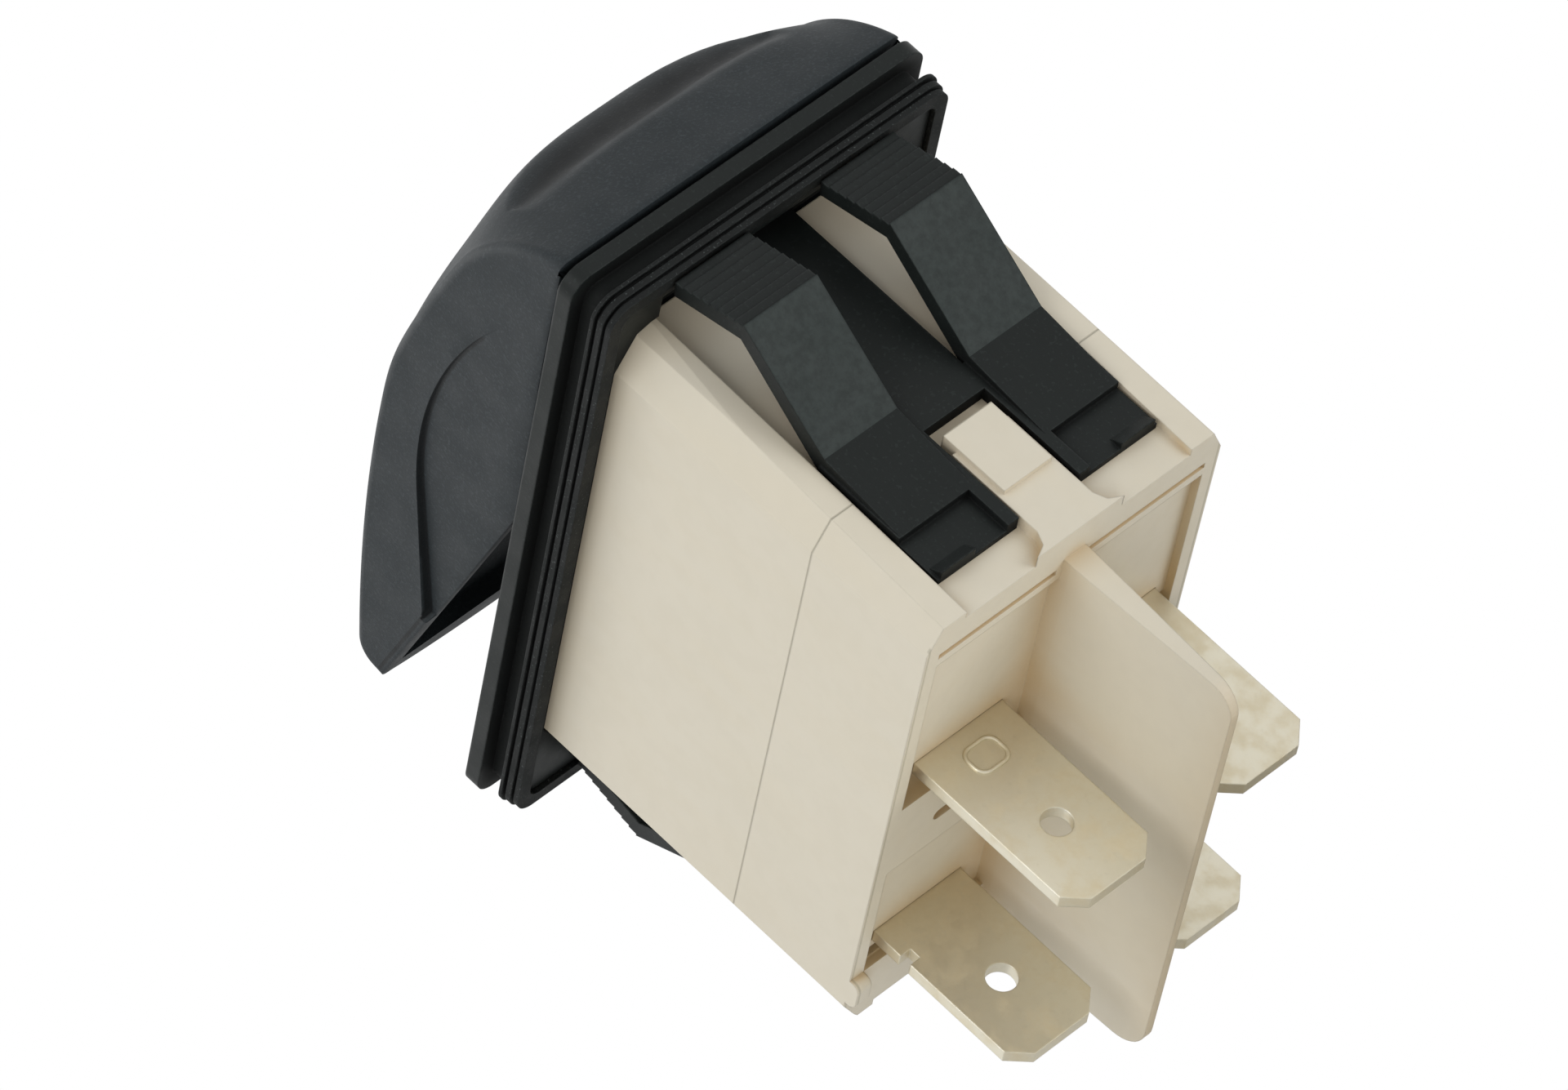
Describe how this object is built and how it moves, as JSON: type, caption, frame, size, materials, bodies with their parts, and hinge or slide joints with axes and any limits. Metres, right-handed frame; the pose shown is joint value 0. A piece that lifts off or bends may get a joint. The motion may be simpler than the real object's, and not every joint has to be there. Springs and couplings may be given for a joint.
{
  "type": "panel rocker switch",
  "caption": "Panel-mounted rocker switch with a curved button, gasketed snap-in bezel, split housing, and blade terminals on each side of a divider.",
  "frame": {"origin": "centre of the panel cut-out, in the plane of the panel's front face", "axes": "+Z out of the panel to the operator, +X to the end of the button that is pressed for ON, +Y across the housing; terminals point to -Z"},
  "size_m": [0.0449, 0.0248, 0.0499],
  "materials": {
    "rocker_plastic": "fine matte grain, charcoal",
    "carrier_plastic": "plain moulded, black",
    "bracket_plastic": "satin moulded, black",
    "gasket_rubber": "ribbed soft rubber, black",
    "housing_plastic": "smooth moulded, cream",
    "tinned_brass": "satin tin plate",
    "contact_silver": "polished silver alloy",
    "blade_copper": "satin copper alloy",
    "plunger_plastic": "smooth natural plastic",
    "spring_steel": "drawn spring wire"
  },
  "bodies": {
    "housing": {"mounting_bracket": "bracket_plastic", "panel_gasket": "gasket_rubber", "housing_seal": "gasket_rubber", "upper_housing": "housing_plastic", "terminal_base": "housing_plastic", "common_terminal_a": "tinned_brass", "common_terminal_b": "tinned_brass", "switched_terminal_a": "tinned_brass", "switched_terminal_b": "tinned_brass", "fixed_contact_a": "contact_silver", "fixed_contact_b": "contact_silver"},
    "rocker": {"rocker_button": "rocker_plastic", "rocker_carrier": "carrier_plastic", "plunger_spring_a": "spring_steel", "plunger_spring_b": "spring_steel"},
    "plunger_a": {"plunger_a": "plunger_plastic"},
    "plunger_b": {"plunger_b": "plunger_plastic"},
    "blade_a": {"contact_blade_a": "blade_copper", "moving_contact_a": "contact_silver"},
    "blade_b": {"contact_blade_b": "blade_copper", "moving_contact_b": "contact_silver"}
  },
  "joints": [
    {"name": "rocker_tilt", "type": "hinge", "parent": "housing", "child": "rocker", "pos_m": [0, 0, 0.002], "axis": [0, 1, 0], "range_deg": [-18, 0]},
    {"name": "plunger_a_slide", "type": "slide", "parent": "rocker", "child": "plunger_a", "axis": [0.1564, 0, 0.9877], "range_m": [0, 0.0005], "stiffness_N_per_m": 300, "springref_m": -0.002, "deforming": ["plunger_spring_a"]},
    {"name": "blade_a_tilt", "type": "hinge", "parent": "housing", "child": "blade_a", "pos_m": [0, -0.00555, -0.01345], "axis": [0, 1, 0], "range_deg": [0, 10]},
    {"name": "plunger_b_slide", "type": "slide", "parent": "rocker", "child": "plunger_b", "axis": [0.1564, 0, 0.9877], "range_m": [0, 0.0005], "stiffness_N_per_m": 300, "springref_m": -0.002, "deforming": ["plunger_spring_b"]},
    {"name": "blade_b_tilt", "type": "hinge", "parent": "housing", "child": "blade_b", "pos_m": [0, 0.00555, -0.01345], "axis": [0, 1, 0], "range_deg": [0, 10]}
  ],
  "couplings": [
    {"joint": "blade_a_tilt", "follows": "rocker_tilt", "ratio": -0.5555},
    {"joint": "blade_b_tilt", "follows": "rocker_tilt", "ratio": -0.5555}
  ]
}
